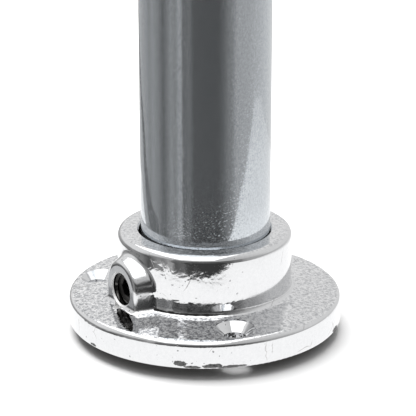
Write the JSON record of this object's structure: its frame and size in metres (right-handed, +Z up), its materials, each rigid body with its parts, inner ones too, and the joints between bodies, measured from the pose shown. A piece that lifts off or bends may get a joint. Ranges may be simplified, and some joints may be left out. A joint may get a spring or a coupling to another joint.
{
  "type": "flag pole stand",
  "caption": "Chromed round floor flange with a clamped upright tube, open at the top to take a flag pole, on a rubber foot.",
  "frame": {"origin": "on the floor, under the middle of the flange", "axes": "+Z up along the tube, -Y towards the front; the clamp screw is on the left of the front"},
  "size_m": [0.068, 0.068, 0.152],
  "materials": {
    "cast_chrome": "bright plating over a slightly wavy casting",
    "foot_rubber": "moulded, matt",
    "tube_chrome": "polished, with fine lengthwise marks",
    "screw_steel": "black oxide, oiled",
    "tip_brass": "turned"
  },
  "bodies": {
    "base": {"base_flange": "cast_chrome", "foot_pad": "foot_rubber"},
    "post": {"post_tube": "tube_chrome"},
    "tip": {"thrust_tip": "tip_brass"},
    "screw": {"set_screw": "screw_steel"}
  },
  "joints": [
    {"name": "post_lift", "type": "slide", "parent": "base", "child": "post", "axis": [0, 0, 1], "range_m": [0, 0.019]},
    {"name": "screw_travel", "type": "slide", "parent": "base", "child": "tip", "axis": [-0.829, -0.5592, 0], "range_m": [0, 0.0025]},
    {"name": "screw_turn", "type": "hinge", "parent": "tip", "child": "screw", "pos_m": [0, 0, 0.015], "axis": [-0.829, -0.5592, 0], "range_deg": [0, 720]}
  ],
  "couplings": [
    {"joint": "screw_turn", "follows": "screw_travel", "rad_per_m": 5026.5}
  ]
}
